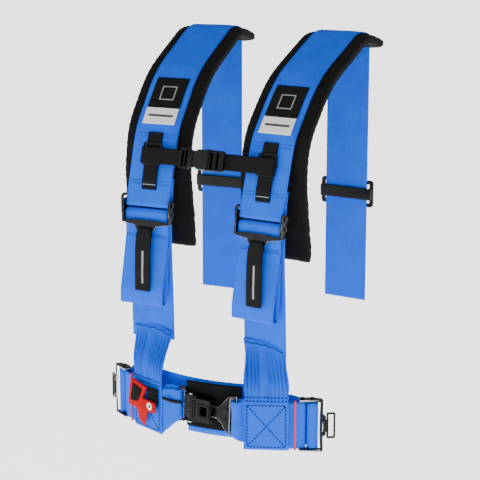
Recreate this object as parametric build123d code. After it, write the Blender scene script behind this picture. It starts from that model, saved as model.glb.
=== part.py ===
from build123d import *
import os
from math import asin, atan2, cos, degrees, hypot, radians, sin

# Four-point racing harness, as worn: X to the viewer's right, Y to the back, Z up.
# The origin lies midway between the crests of the two shoulder pads, under the straps.
# All sizes are in millimetres.

# ---- Driving dimensions ----
MAIN_W = 76.2            # 3 inch main webbing
SMALL_W = 25.4           # 1 inch chest webbing
WEB_T = 2.0              # thickness of the main webbing
SMALL_T = 1.6            # thickness of the chest webbing
GAP = 0.3                # free play between neighbouring pieces
SHOULDER_X = 101.0       # centre of each shoulder strap at the chest
PAD_W = 114.0
PAD_T = 15.0

CREST = (5, 21)          # (Y, Z) corners of the shoulder line on the pad's upper face
COLLAR = (-120, -44)
CHEST = (-189, -128)
REAR_Y = 41.0            # the rear strap hangs straight down here
REAR_END_Z = {"left": -441.0, "right": -428.0}
PAD_REAR = (58, 5)
PAD_BOTTOM = [(-197, -195), (-185, -316)]

PIN_YZ = (-220.0, -243.0)     # fixed pin of the shoulder adjuster
PIN_R = 3.0
LOCK_YZ = (-221.5, -258.5)    # lock bar of the shoulder adjuster
LOCK_R = 5.0
FRAME_W = 84.0                # outside width of an adjuster frame
EAR_T = 2.5

LADDER_Z = (-134.0, -221.0)   # ends of the narrow chest ladder
LADDER_LIFT = 4.3             # it stands this far off the strap's middle plane
CHEST_Z = -166.0              # height of the chest strap
LABEL_L = 86.0                # length of the sewn label
BUCKLE_X = (-45.0, 33.0)      # ends of the side-release buckle

WAIST_R = 276.0               # radius of the lap belt round the waist
WAIST_Y = 22.0                # centre of that radius
LAP_Z = -571.0                # middle height of the lap belt
SLEEVE_TOP = -441.0
LOOP_BOTTOM = -404.0          # lowest point of the sewn hand loop
SLIDE_W = 96.0                # rear three-bar slide
SLIDE_H = 44.0
SLIDE_Z = {"left": -252.0, "right": -248.0}
LATCH_X = 8.0                 # middle of the latch body
LATCH_Z = -551.0
SIDES = {"left": -1, "right": 1}

SLEEVE_T = 5.0
SLEEVE_BOX_TOP = -515.0
SLEEVE_X = {"left": -92.0, "right": 115.0}
LAP_LOCK_X = 176.0            # lock bars of the lap adjusters
LAP_LOCK_OUT = -3.6
LAP_INNER_X = {"left": -24.0, "right": 84.0}
ANCHOR_X = {"left": (-160.0, 92.0), "right": (-22.0, 160.0)}
ANCHOR_OUT = {"left": -19.0, "right": -15.5}
ANCHOR_Z = {"left": -549.0, "right": -563.0}
KEEPER_X = {"left": -140.0, "right": 153.5}
TAB_X = -95.0
TAB_OUT = 14.0
CHEST_LOW = (-225.7, -247.3)  # the strap's line runs straight from CHEST to here
CHEST_SLOPE = (CHEST_LOW[0] - CHEST[0]) / (CHEST_LOW[1] - CHEST[1])
CHEST_LEAN = degrees(atan2(CHEST_SLOPE, 1))
SPLAY = 3.8                   # the shoulder line turns outwards towards the back

nodes = {}


def keep(name, shape, x=0.0):
    """Store a piece under its node name, moved sideways by x."""
    solids = shape.solids() if not isinstance(shape, Solid) else [shape]
    placed = [Pos(x, 0, 0) * s for s in solids]
    nodes[name] = placed[0] if len(placed) == 1 else Compound(children=placed)


def path_yz(points, radii):
    """A line in the YZ plane, rounded at its corners."""
    corners = [(0, y, z) for y, z in points]
    if len(corners) == 2:
        return Line(*corners)
    return FilletPolyline(*corners, radius=radii)


def band(points, radii, thickness, width):
    """Webbing or padding of even thickness along a rounded line, centred on X = 0."""
    line = path_yz(points, radii)
    start = line @ 0
    direction = line % 0
    plane = Plane(origin=start, x_dir=(1, 0, 0), z_dir=direction)
    return sweep(plane * Rectangle(width, thickness), path=line)


def inward(points, depth):
    """The same corners moved by depth to the wearer's side of the line."""
    def unit(a, b):
        run = hypot(b[0] - a[0], b[1] - a[1])
        return ((b[0] - a[0]) / run, (b[1] - a[1]) / run)

    moved = []
    for i, here in enumerate(points):
        before = unit(points[max(i - 1, 0)], points[max(i, 1)])
        after = unit(points[min(i, len(points) - 2)], points[min(i + 1, len(points) - 1)])
        mid = (before[0] + after[0], before[1] + after[1])
        size = hypot(*mid)
        normal = (-mid[1] / size, mid[0] / size)
        stretch = depth / (size / 2)
        moved.append((here[0] + normal[0] * stretch, here[1] + normal[1] * stretch))
    return moved


def rod(radius, length, y=0.0, z=0.0):
    """A round bar along X."""
    return Pos(0, y, z) * Rot(0, 90, 0) * Cylinder(radius, length)


def slab(x, y, z, at=(0, 0, 0), corner=0.0, axis=Axis.Y):
    """A box with its edges along one axis rounded."""
    body = Box(x, y, z)
    if corner:
        body = fillet(body.edges().filter_by(axis), corner)
    return Pos(*at) * body


def ring_plate(width, height, bar, thick, corner):
    """A flat rectangular ring in the XZ plane."""
    outer = RectangleRounded(width, height, corner)
    inner = RectangleRounded(width - 2 * bar, height - 2 * bar, max(corner - bar, 0.6))
    return extrude(Plane.XZ * (outer - inner), thick / 2, both=True)


# ---- Shoulder pads and the webbing on them ----
def shoulder_line():
    return [CREST, COLLAR, CHEST]


def shoulder_strap(side):
    """One length of webbing: rear end, through the pad's slot, over the pad, round the pin."""
    pin_y, pin_z = PIN_YZ
    r = PIN_R + GAP + WEB_T / 2
    points = [(REAR_Y, REAR_END_Z[side]), (REAR_Y, 13.0)]
    points += shoulder_line()
    points += [CHEST_LOW, (pin_y + r, pin_z - r), (-207.0, -203.0)]
    return points, [7.0, 60.0, 180.0, 110.0, 3.0, 3.6]


def shoulder_pad():
    line = [PAD_REAR] + shoulder_line() + PAD_BOTTOM
    depth = WEB_T / 2 + GAP + PAD_T / 2
    pad = band(inward(line, depth), [55.0, 170.0, 100.0, 90.0], PAD_T, PAD_W)
    slot = band([(REAR_Y, -40), (REAR_Y, 13.0), CREST], [7.0], WEB_T + 2 * GAP, MAIN_W + 2)
    return pad - slot


def label_patch():
    """Rectangular sewn label on the slope of the strap."""
    step = (CHEST[0] - COLLAR[0], CHEST[1] - COLLAR[1])
    run = hypot(*step)
    along = (step[0] / run, step[1] / run)
    out = (along[1], -along[0])
    lift = WEB_T / 2 + 0.8
    first = (COLLAR[0] + along[0] * 17 + out[0] * lift, COLLAR[1] + along[1] * 17 + out[1] * lift)
    last = (first[0] + along[0] * LABEL_L, first[1] + along[1] * LABEL_L)
    line = Line((0, *first), (0, *last))
    plane = Plane(origin=line @ 0, x_dir=(1, 0, 0), z_dir=line % 0)
    return sweep(plane * Rectangle(57, 1.0), path=line)


def on_chest(z, off):
    """(Y, Z) of a point off millimetres in front of the strap's straight chest run."""
    return (CHEST[0] + (z - CHEST[1]) * CHEST_SLOPE - off * hypot(1, CHEST_SLOPE), z)


def chest_ladder():
    """Narrow webbing sewn down at its ends and standing a little clear between them."""
    top, low = LADDER_Z
    sewn = WEB_T / 2 + SMALL_T / 2 + 0.2
    heights = (
        (top, 1.6), (top - 7, 2.8), (top - 17, LADDER_LIFT),
        (low + 15, LADDER_LIFT), (low + 6, sewn), (low, sewn),
    )
    points = [on_chest(z, off) for z, off in heights]
    return band(points, [6.0, 10.0, 10.0, 6.0], SMALL_T, SMALL_W)


def rear_slide(z):
    """Three-bar slide: the strap runs between its middle bar and its outer ring."""
    clear = WEB_T / 2 + 0.4
    outer = Pos(0, clear + 2, 0) * ring_plate(SLIDE_W, SLIDE_H, 6, 4, 5)
    bar = slab(SLIDE_W - 8, 3, 19, at=(0, -clear - 1.5, 0), corner=1.2, axis=Axis.X)
    sides = [slab(6, 2 * clear + 7, 19, at=(s * (SLIDE_W / 2 - 4), 0.5, 0)) for s in (-1, 1)]
    return Pos(0, REAR_Y, z) * (outer + bar + sides[0] + sides[1])


# ---- Adjusters: fixed pin, lock bar and stamped frame, in a local frame ----
# Local X runs across the webbing, local Z up along it, local -Y away from the wearer,
# and the local origin is the middle of the lock bar.
TAB_BAR_R = 1.6
LIP_Y = -11.0
TAB_BAR_YZ = (-11.5, -23.6)
LAP_UP = 6.0                  # the lap adjusters' prongs are this much shorter
LAP_BAR_YZ = (TAB_BAR_YZ[0], TAB_BAR_YZ[1] + LAP_UP)
PIN_STEP = (PIN_YZ[0] - LOCK_YZ[0], PIN_YZ[1] - LOCK_YZ[1])


def ear_outline():
    top = PIN_STEP[1] + 6.5
    return [(LIP_Y - 1.2, -14.5), (LIP_Y - 1.2, -2.0), (-8.0, top), (5.5, top), (7.5, 2.0), (-2.0, -14.5)]


def adjuster_frame(up=0.0):
    """Two ears joined by a lip whose edge sweeps down to a pair of prongs, up shorter."""
    ear_face = make_face(Polyline(*[(0, y, z) for y, z in ear_outline()], close=True))
    half = FRAME_W / 2 - EAR_T / 2
    ears = [Pos(s * half, 0, 0) * extrude(ear_face, EAR_T / 2, dir=(1, 0, 0), both=True) for s in (-1, 1)]
    lip_points = [
        (-FRAME_W / 2, -10.5), (-13, -8.8), (13, -8.8), (FRAME_W / 2, -10.5),
        (FRAME_W / 2, -14.5), (19, -18 + up * 0.6), (16, -25 + up), (11, -25 + up), (10.5, -19.5 + up),
        (-10.5, -19.5 + up), (-11, -25 + up), (-16, -25 + up), (-19, -18 + up * 0.6), (-FRAME_W / 2, -14.5),
    ]
    lip_face = make_face(Polyline(*[(x, 0, z) for x, z in lip_points], close=True))
    lip = Pos(0, LIP_Y, 0) * extrude(lip_face, 1.25, dir=(0, 1, 0), both=True)
    body = ears[0] + ears[1] + lip
    body += rod(TAB_BAR_R, 27, TAB_BAR_YZ[0], TAB_BAR_YZ[1] + up)
    bores = rod(PIN_R + 0.05, FRAME_W + 4, *PIN_STEP) + rod(3.05, FRAME_W + 4)
    return body - bores


def adjuster_pin():
    heads = [rod(4.2, 1.2, *PIN_STEP).moved(Pos(s * (FRAME_W / 2 + 0.8), 0, 0)) for s in (-1, 1)]
    return rod(PIN_R, FRAME_W + 1, *PIN_STEP) + heads[0] + heads[1]


def lock_bar():
    """Knurled bar between the ears, with thin journals through them."""
    journal = rod(3.0, FRAME_W + 3)
    return rod(LOCK_R, FRAME_W - 2 * EAR_T - 0.8) + journal


def lock_wrap():
    """The stretch of webbing that goes round the lock bar."""
    mid = LOCK_R + GAP + WEB_T / 2
    turn = CenterArc((0, 0, 0), mid, 0, 180)
    path = Plane(origin=(0, 0, 0), x_dir=(0, 1, 0), z_dir=(1, 0, 0)) * turn
    plane = Plane(origin=path @ 0, x_dir=(1, 0, 0), z_dir=path % 0)
    round_part = sweep(plane * Rectangle(MAIN_W, WEB_T), path=path)
    legs = [slab(MAIN_W, WEB_T, 5.0, at=(0, s * mid, -2.5)) for s in (-1, 1)]
    return round_part + legs[0] + legs[1]


def pull_tab():
    """Pull tab folded round the bar between the frame's prongs."""
    bar_y, bar_z = TAB_BAR_YZ
    r = TAB_BAR_R + GAP + SMALL_T / 2
    points = [(bar_y + r, bar_z - 12), (bar_y + r, bar_z + r), (bar_y - r, bar_z + r)]
    points += [(bar_y - r - 3, bar_z - 12), (-20.5, -55), (-22.5, -120)]
    head = band(points[:5], [2.0, 2.2, 30.0], SMALL_T, 19)
    tail = band(points[4:], [], 3.2, SMALL_W)
    return head + tail


# ---- Lower straps ----
def lower_strap():
    """From the sleeve up behind the adjuster; the wrap round the lock bar is its own piece."""
    back_y = LOCK_YZ[0] + LOCK_R + GAP + WEB_T / 2
    points = [(-209, SLEEVE_TOP + GAP), (-212, -380), (back_y, -310), (back_y, LOCK_YZ[1] - 5.8)]
    return band(points, [80.0, 80.0], WEB_T, MAIN_W - 1)


def tail_loop():
    """Free end in front, folded back and sewn into a hand loop."""
    front_y = LOCK_YZ[0] - LOCK_R - GAP - WEB_T / 2
    top = LOCK_YZ[1] - 5.8
    low = LOOP_BOTTOM
    points = [
        (front_y, top), (front_y + 3.0, top - 25), (front_y - 10.5, low + 24), (front_y - 8.5, low),
        (front_y + 3.6, low), (front_y + 5.4, low + 26), (front_y + 4.2, top - 46),
    ]
    return band(points, [60.0, 60.0, 4.0, 4.0, 30.0], WEB_T, MAIN_W - 2)


def waist_y(x, out=0.0):
    """Y of a point of the waist arc, out millimetres outside it."""
    return WAIST_Y - (WAIST_R + out) * cos(asin(x / WAIST_R))


def sleeve(x_top, x_low):
    """Gathered cover of the junction: a flat tube that becomes the sewn box on the lap belt."""
    turn = degrees(asin(x_low / WAIST_R))
    out = WEB_T / 2 + GAP + SLEEVE_T / 2
    low_y = waist_y(x_low, out)
    shift = out * sin(radians(turn))
    sections = []
    for x, y, z, width, depth, angle in (
        (x_top, -210.0, SLEEVE_TOP, 70.0, 7.0, 0.0),
        (x_low + shift, low_y - 1.5, SLEEVE_BOX_TOP, 70.0, SLEEVE_T + 3, turn),
        (x_low + shift, low_y, LAP_Z - 20, 70.0, SLEEVE_T, turn),
        (x_low + shift, low_y, LAP_Z - 39, 70.0, SLEEVE_T, turn),
    ):
        sections.append(Pos(x, y, z) * Rot(0, 0, angle) * Rectangle(width, depth))
    return loft(sections, ruled=True)


# ---- Lap belt, in plan: arcs about the waist ----
def waist_band(x_from, x_to, out, thickness, height, z):
    """A band of webbing standing on edge along the waist arc."""
    a0 = -90 + degrees(asin(x_from / WAIST_R))
    a1 = -90 + degrees(asin(x_to / WAIST_R))
    radius = WAIST_R + out
    outer = make_face(sector_edges(radius + thickness / 2, radius - thickness / 2, a0, a1))
    return Pos(0, WAIST_Y, z - height / 2) * extrude(outer, height, dir=(0, 0, 1))


def sector_edges(r_out, r_in, a0, a1):
    """Closed outline of a piece of a ring."""
    big = CenterArc((0, 0, 0), r_out, a0, a1 - a0)
    small = CenterArc((0, 0, 0), r_in, a0, a1 - a0)
    return [big, Line(big @ 1, small @ 1), small, Line(small @ 0, big @ 0)]


def waist_place(x, out=0.0, z=0.0):
    """Location on the waist arc: local X along the belt, local -Y away from the wearer."""
    angle = asin(x / WAIST_R)
    radius = WAIST_R + out
    return Pos(radius * sin(angle), WAIST_Y - radius * cos(angle), z) * Rot(0, 0, degrees(angle))


def lap_adjuster_place(side):
    """The adjuster's local frame turned so that its lip points out along the belt."""
    x = SIDES[side] * LAP_LOCK_X
    return waist_place(x, LAP_LOCK_OUT, LAP_Z) * Rot(0, -SIDES[side] * 90, 0)


def pin_place(side):
    return lap_adjuster_place(side) * Pos(0, *PIN_STEP)


def half_loop(inner, thickness, height):
    """Webbing turned 180 degrees round a bar; the bar runs along local X, the bend is below."""
    big = CenterArc((0, 0, 0), inner + thickness, 180, 180)
    small = CenterArc((0, 0, 0), inner, 180, 180)
    outline = [big, Line(big @ 1, small @ 1), small, Line(small @ 0, big @ 0)]
    face = Plane.YZ * make_face(outline)
    return extrude(face, height / 2, dir=(1, 0, 0), both=True)


def lap_strap(side, inner_x):
    """Main lap webbing from the buckle side to its loop round the adjuster's pin."""
    sign = SIDES[side]
    mid = PIN_R + GAP + WEB_T / 2
    end_x = sign * (LAP_LOCK_X - PIN_STEP[1] - 0.4)
    belt = waist_band(min(inner_x, end_x), max(inner_x, end_x), 0, WEB_T, MAIN_W, LAP_Z)
    loop = pin_place(side) * half_loop(PIN_R + GAP, WEB_T, MAIN_W)
    legs = [pin_place(side) * Pos(0, s * mid, 9) * Box(MAIN_W, WEB_T, 18) for s in (-1, 1)]
    return belt + loop + legs[0] + legs[1]


# ---- Chest strap ----
def chest_ring():
    """Square tri-glide that slides on the ladder; its middle bar carries the chest strap."""
    ring = ring_plate(33, 35, 3.2, 2.6, 2.5)
    back = slab(33, 1.4, 6, at=(0, 4.2, 0))
    posts = [slab(3.0, 5.0, 6, at=(s * 15, 2.4, 0)) for s in (-1, 1)]
    return ring + back + posts[0] + posts[1]


def chest_webbing(x_from, x_to):
    return slab(x_to - x_from, SMALL_T, SMALL_W, at=((x_from + x_to) / 2, 4.1, 0))


def buckle_female():
    """Receptacle: open to the left, with pinch notches and two ladder bars at its right."""
    left, right = BUCKLE_X
    body = slab(24, 11, 31, at=(left + 40, 0, 0), corner=3)
    cavity = slab(24, 6.2, 25.2, at=(left + 37, 0, 0))
    notches = [slab(11, 12, 9, at=(left + 27.4, 0, s * 17.6), corner=3) for s in (-1, 1)]
    flange = slab(4, 12.6, 33, at=(left + 51, 0, 0), corner=1.5)
    frame = slab(right - left - 52, 6, 32, at=((right + left + 52) / 2, 0, 0), corner=2.5)
    slots = [slab(4.6, 14, 26.4, at=(right - 20.6 + s, 0, 0)) for s in (0, 10.4)]
    body = body + flange + frame - cavity - notches[0] - notches[1]
    return body - slots[0] - slots[1]


def buckle_male():
    """Insert: ladder bars at its left, a centre rail and two side prongs to its right."""
    left = BUCKLE_X[0]
    frame = slab(18, 6, 32, at=(left + 9, 0, 0), corner=2.5)
    slots = [slab(4.6, 14, 26.4, at=(left + x, 0, 0)) for x in (5.6, 12.4)]
    shoulder = slab(8, 7, 27, at=(left + 20, -0.5, 0), corner=1.5)
    rail = slab(22, 4, 5, at=(left + 34, 0, 0))
    prongs = [slab(23, 5, 4, at=(left + 34.5, 0, s * 9.8), corner=1.5) for s in (-1, 1)]
    hooks = [slab(6, 5, 3, at=(left + 42, 0, s * 10.8)) for s in (-1, 1)]
    return frame - slots[0] - slots[1] + shoulder + rail + prongs[0] + prongs[1] + hooks[0] + hooks[1]


# ---- Centre buckle, local X to the right, local -Y away from the wearer ----
def latch_place():
    return Pos(LATCH_X, waist_y(0) - 0.6, LATCH_Z) * Rot(0, 3, 0)


def latch_base():
    """Stamped base: belt bar at the left, floor, and two ears for the lever's pin."""
    floor = slab(52, 2.0, 44, at=(2, -1.3, 0), corner=2)
    bar_plate = slab(13, 2.0, 58, at=(-29, -1.3, 0), corner=2)
    belt_slot = slab(5.6, 6, 46, at=(-28.0, -1.3, 0))
    ears = [slab(22, 13, 2.2, at=(-8, -7.2, s * 20.9), corner=3, axis=Axis.Z) for s in (-1, 1)]
    bores = Pos(-9, -9, 0) * Cylinder(2.55, 60)
    return floor + bar_plate + ears[0] + ears[1] - belt_slot - bores


def latch_lever():
    """Cover lever with a window; its barrel turns on the pin."""
    cover = slab(34, 2.4, 38, at=(11.5, -13.2, 0), corner=3)
    window = slab(12, 8, 15, at=(17, -13, 0), corner=2)
    walls = [slab(32, 6.4, 2.0, at=(10.5, -10.4, s * 17.4)) for s in (-1, 1)]
    barrel = Pos(-9, -9, 0) * Cylinder(4.6, 38)
    bore = Pos(-9, -9, 0) * Cylinder(2.55, 60)
    pocket = slab(10, 10, 12, at=(-9, -9, 0))
    nose = slab(5, 3.4, 30, at=(27, -12.6, 0), corner=1.2)
    return cover + walls[0] + walls[1] + barrel + nose - window - bore - pocket


def latch_pin():
    heads = [Pos(-9, -9, s * 23.0) * Cylinder(3.6, 1.6) for s in (-1, 1)]
    return Pos(-9, -9, 0) * Cylinder(2.5, 46) + heads[0] + heads[1]


def latch_spring():
    """Closed coils of the torsion spring round the pin."""
    return Pos(-9, -9, 0) * (Cylinder(4.4, 11) - Cylinder(3.0, 12))


def latch_tongue():
    """Plate that narrows to a neck and flares out to the belt bar."""
    half = [(8, 11), (22, 11), (27, 9), (37, 9), (44, 15), (56, 30), (70, 33)]
    outline = [(x, z) for x, z in half] + [(x, -z) for x, z in reversed(half)]
    face = make_face(Polyline(*[(x, 0, z) for x, z in outline], close=True))
    plate = Pos(0, -4.4, 0) * extrude(face, 1.2, dir=(0, 1, 0), both=True)
    catch = slab(7, 8, 13, at=(15, -4.4, 0), corner=1.5)
    belt_slot = slab(6.4, 8, 56, at=(62.5, -4.4, 0))
    bores = [Pos(52, -4.4, s * 9) * Rot(90, 0, 0) * Cylinder(2.0, 8) for s in (-1, 1)]
    return plate - catch - belt_slot - bores[0] - bores[1]


def tongue_rivets():
    made = []
    for s in (-1, 1):
        shank = Pos(52, -4.4, s * 9) * Rot(90, 0, 0) * Cylinder(2.0, 3.4)
        head = Pos(52, -6.4, s * 9) * Rot(90, 0, 0) * Cylinder(3.4, 1.4)
        made.append(shank + head)
    return Compound(children=[piece.solids()[0] for piece in made])


# ---- Release tab ----
def tab_place():
    return waist_place(TAB_X, TAB_OUT, -560)


def release_tab():
    """Folded red pull: a slanted patch, an arm to the grommet and a pointed tail."""
    outline = [
        (-28, 32), (12, 25), (2, 4), (34, 4), (34, -13), (14, -15), (6, -40),
        (-7, -32), (-12, -16), (-36, -13),
    ]
    face = make_face(Polyline(*[(x, 0, z) for x, z in outline], close=True))
    body = extrude(face, 1.6, dir=(0, 1, 0), both=True)
    hole = Pos(22, 0, -4) * Rot(90, 0, 0) * Cylinder(4.1, 8)
    return body - hole


def tab_grommet():
    tube = Cylinder(4.0, 3.8) - Cylinder(2.8, 5)
    flange = Pos(0, 0, 2.3) * (Cylinder(6.2, 0.9) - Cylinder(2.8, 2))
    return Pos(22, 0, -4) * Rot(90, 0, 0) * (tube + flange)


# ---- Assembly ----
def chest_place(off):
    """Location in front of the strap at the height of the chest strap, with its slant."""
    return Pos(0, *on_chest(CHEST_Z, off)) * Rot(-CHEST_LEAN, 0, 0)


def keeper_ring():
    """Black wire ring behind the adjuster."""
    return Pos(-12, 0, 0) * ring_plate(92, 40, 4.6, 3.6, 8)


def lap_ring():
    """Tab ring that hangs from the lip of the lap adjuster."""
    bar_y, bar_z = LAP_BAR_YZ
    ring = Pos(0, bar_y, bar_z - 9.4) * ring_plate(42, 14, 3, 2.6, 2.5)
    tube = rod(3.2, 19, bar_y, bar_z)
    neck = slab(19, 2.4, 3.6, at=(0, bar_y, bar_z - 3.8))
    bore = rod(TAB_BAR_R + 0.1, 21, bar_y, bar_z)
    return ring + (tube + neck - bore)


def elastic_keeper():
    """Thin elastic band round the lap belt."""
    return Pos(0, -0.7, 0) * (Box(3.0, 6.2, 79.4) - Box(4.0, 4.4, 77.4))


ADJUSTER_PIECES = {
    "adjuster_frame": adjuster_frame,
    "adjuster_pin": adjuster_pin,
    "lock_bar": lock_bar,
    "lock_wrap": lock_wrap,
}
LAP_PIECES = {"adjuster_frame": lambda: adjuster_frame(LAP_UP)}


def build_side(side):
    sign = SIDES[side]
    x = sign * SHOULDER_X
    points, radii = shoulder_strap(side)
    chest_y = CHEST_LOW[0]
    splay = Pos(0, chest_y, 0) * Rot(0, 0, -sign * SPLAY) * Pos(0, -chest_y, 0)
    keep(side + "_shoulder_strap", splay * band(points, radii, WEB_T, MAIN_W), x)
    keep(side + "_shoulder_pad", splay * shoulder_pad(), x)
    keep(side + "_label_patch", splay * label_patch(), x)
    keep(side + "_rear_slide", splay * rear_slide(SLIDE_Z[side]), x)
    keep(side + "_chest_ladder", splay * chest_ladder(), x)
    keep(side + "_chest_ring", splay * chest_place(LADDER_LIFT + 2.6) * chest_ring(), x)

    adjuster = splay * Pos(0, *LOCK_YZ)
    for name, make in ADJUSTER_PIECES.items():
        keep(side + "_" + name, adjuster * make(), x)
        make_lap = LAP_PIECES.get(name, make)
        keep(side + "_lap_" + name, lap_adjuster_place(side) * make_lap())
    keep(side + "_pull_tab", adjuster * pull_tab(), x)
    keep(side + "_keeper_ring", splay * Pos(0, -206.3, -252) * keeper_ring(), x)
    keep(side + "_lower_strap", splay * lower_strap(), x)
    keep(side + "_tail_loop", splay * tail_loop(), x)
    keep(side + "_strap_sleeve", sleeve(x, SLEEVE_X[side]))
    keep(side + "_lap_ring", lap_adjuster_place(side) * lap_ring())
    keep(side + "_lap_strap", lap_strap(side, LAP_INNER_X[side]))
    anchor = waist_band(*ANCHOR_X[side], ANCHOR_OUT[side], WEB_T, MAIN_W, ANCHOR_Z[side])
    keep(side + "_anchor_strap", anchor)


def build_chest():
    place = chest_place(LADDER_LIFT + 10.6)
    left, right = BUCKLE_X
    keep("left_chest_strap", place * chest_webbing(-118, left + 16))
    keep("right_chest_strap", place * chest_webbing(right - 24.5, 116))
    keep("chest_buckle_female", place * buckle_female())
    keep("chest_buckle_male", place * buckle_male())


def build_centre():
    keep("buckle_pad", waist_band(-14, 79, -1.5, 3.0, 74, -548))
    latch = latch_place()
    for name, make in (
        ("latch_base", latch_base), ("latch_lever", latch_lever), ("latch_pin", latch_pin),
        ("latch_spring", latch_spring), ("latch_tongue", latch_tongue), ("tongue_rivets", tongue_rivets),
    ):
        keep(name, latch * make())
    keep("release_cable", latch * Pos(-44, -6.6, 3) * Rot(0, 90, 0) * Cylinder(2.8, 34))
    keep("release_tab", tab_place() * release_tab())
    keep("tab_grommet", tab_place() * tab_grommet())
    bands = [waist_place(x, 0, LAP_Z) * elastic_keeper() for x in KEEPER_X.values()]
    keep("elastic_keepers", Compound(children=[b.solids()[0] for b in bands]))
    keep("tab_patch", waist_place(TAB_X + 20, TAB_OUT - 3.4, -549) * Box(24, 1.2, 29))


build_side("left")
build_side("right")
build_chest()
build_centre()

os.makedirs("parts", exist_ok=True)
for name, shape in nodes.items():
    export_step(shape, f"parts/{name}.step")
print(len(nodes), "nodes")
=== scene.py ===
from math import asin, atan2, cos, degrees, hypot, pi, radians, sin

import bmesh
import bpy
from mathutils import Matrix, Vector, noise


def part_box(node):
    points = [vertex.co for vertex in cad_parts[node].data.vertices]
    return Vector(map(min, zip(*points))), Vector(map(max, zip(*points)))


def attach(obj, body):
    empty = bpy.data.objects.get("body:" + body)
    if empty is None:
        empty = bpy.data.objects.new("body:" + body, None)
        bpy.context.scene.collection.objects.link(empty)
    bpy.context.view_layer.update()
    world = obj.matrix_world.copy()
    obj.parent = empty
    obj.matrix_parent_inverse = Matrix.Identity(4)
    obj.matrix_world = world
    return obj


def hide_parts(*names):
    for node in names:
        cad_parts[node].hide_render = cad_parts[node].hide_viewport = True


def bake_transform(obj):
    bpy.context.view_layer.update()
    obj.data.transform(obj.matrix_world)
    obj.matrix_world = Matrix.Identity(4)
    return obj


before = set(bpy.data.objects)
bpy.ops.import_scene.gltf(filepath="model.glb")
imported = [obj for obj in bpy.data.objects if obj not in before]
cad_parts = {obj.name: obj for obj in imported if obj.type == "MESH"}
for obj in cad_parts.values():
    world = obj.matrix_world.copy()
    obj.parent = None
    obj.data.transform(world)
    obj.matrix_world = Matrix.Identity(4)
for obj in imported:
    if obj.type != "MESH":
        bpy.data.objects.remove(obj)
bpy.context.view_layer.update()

# %% [markdown]
# # A four-point racing harness
# The metal and plastic hardware comes from the frame. Here it gets its edges and finishes,
# and every soft part is made new: webbing as ribbons that are bent along a path,
# shoulder pads as padded tubes, and stitching as small threads on the surface.

MM = 0.001
WEB_W, WEB_T = 76.2, 1.9
SMALL_W, SMALL_T = 25.4, 1.6
SIDES = {"left": -1, "right": 1}
SHOULDER_X = 101.0
SPLAY = 3.8
CREST, COLLAR, CHEST, CHEST_LOW = (5, 21), (-120, -44), (-189, -128), (-225.7, -247.3)
PAD_REAR, PAD_END = (58, 5), [(-197, -195), (-185, -316)]
PIN, PIN_R = (-220.0, -243.0), 3.0
LOCK, LOCK_R = (-221.5, -258.5), 5.0
CHEST_SLOPE = (CHEST_LOW[0] - CHEST[0]) / (CHEST_LOW[1] - CHEST[1])
WAIST_R, WAIST_Y, LAP_Z = 276.0, 22.0, -571.0
LAP_LOCK_X, LAP_LOCK_OUT = 176.0, -3.6
REAR_Y = 41.0
REAR_END = {side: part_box(side + "_shoulder_strap")[0][2] / MM for side in SIDES}

# %% [markdown]
# ## Shader maths in plain Python
# A value wraps one output socket. Sums and products of values add their Math nodes, so a
# weave can be written the way it is thought of.

# %% A value that builds Math nodes
class Value:
    def __init__(self, mat, socket):
        self.mat, self.socket = mat, socket

    def math(self, operation, *others):
        return self.mat.node("ShaderNodeMath", {"operation": operation}, (self, *others))

    def __add__(self, other):
        return self.math("ADD", other)

    def __mul__(self, other):
        return self.math("MULTIPLY", other)

    def __sub__(self, other):
        return self.math("SUBTRACT", other)

    def __rsub__(self, other):
        return self.mat.node("ShaderNodeMath", {"operation": "SUBTRACT"}, (other, self))

    def __gt__(self, other):
        return self.math("GREATER_THAN", other)

    def __lt__(self, other):
        return self.math("LESS_THAN", other)

    __radd__, __rmul__ = __add__, __mul__

    def clamp(self):
        return self.mat.node("ShaderNodeMath", {"operation": "ADD", "use_clamp": True}, (self, 0.0))


# %% A material with one method for every other node
class Finish:
    """A Principled material; constants go on the shader and patterns are linked to it."""

    def __init__(self, name, **constants):
        self.material = bpy.data.materials.new(name)
        self.material.use_nodes = True
        self.tree = self.material.node_tree
        self.shader = self.tree.nodes["Principled BSDF"]
        for socket, value in constants.items():
            self.shader.inputs[socket.replace("_", " ")].default_value = value

    def node(self, kind, settings=None, inputs=(), out=0):
        made = self.tree.nodes.new(kind)
        for key, value in (settings or {}).items():
            setattr(made, key, value)
        pairs = inputs.items() if isinstance(inputs, dict) else enumerate(inputs)
        for key, value in pairs:
            self.link(value, made.inputs[key])
        return Value(self, made.outputs[out])

    def link(self, value, socket):
        if isinstance(value, Value):
            self.tree.links.new(value.socket, socket)
        else:
            socket.default_value = value

    def set(self, socket, value):
        self.link(value, self.shader.inputs[socket])

    def coords(self, kind="Object"):
        names = ["Generated", "Normal", "UV", "Object"]
        return self.node("ShaderNodeTexCoord", out=names.index(kind))

    def split(self, vector):
        first = self.node("ShaderNodeSeparateXYZ", None, (vector,))
        made = first.socket.node
        return [Value(self, made.outputs[i]) for i in range(3)]

    def noise(self, vector, scale, detail=3.0, rough=0.55):
        inputs = {"Vector": vector, "Scale": scale, "Detail": detail, "Roughness": rough}
        return self.node("ShaderNodeTexNoise", None, inputs)

    def mix(self, share, a, b):
        inputs = {0: share, 6: a, 7: b}
        return self.node("ShaderNodeMix", {"data_type": "RGBA"}, inputs, out=2)

    def bump(self, height, strength, distance):
        inputs = {"Strength": strength, "Distance": distance, "Height": height}
        self.set("Normal", self.node("ShaderNodeBump", None, inputs))


# %% [markdown]
# ## Webbing
# Harness webbing is a tight narrow weave: fine ribs run along it, the weft shows as small
# steps across it, and a denser cord edges each side. The pattern reads the ribbon's own UV,
# which is laid out in millimetres, so it keeps its scale round every fold.

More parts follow.
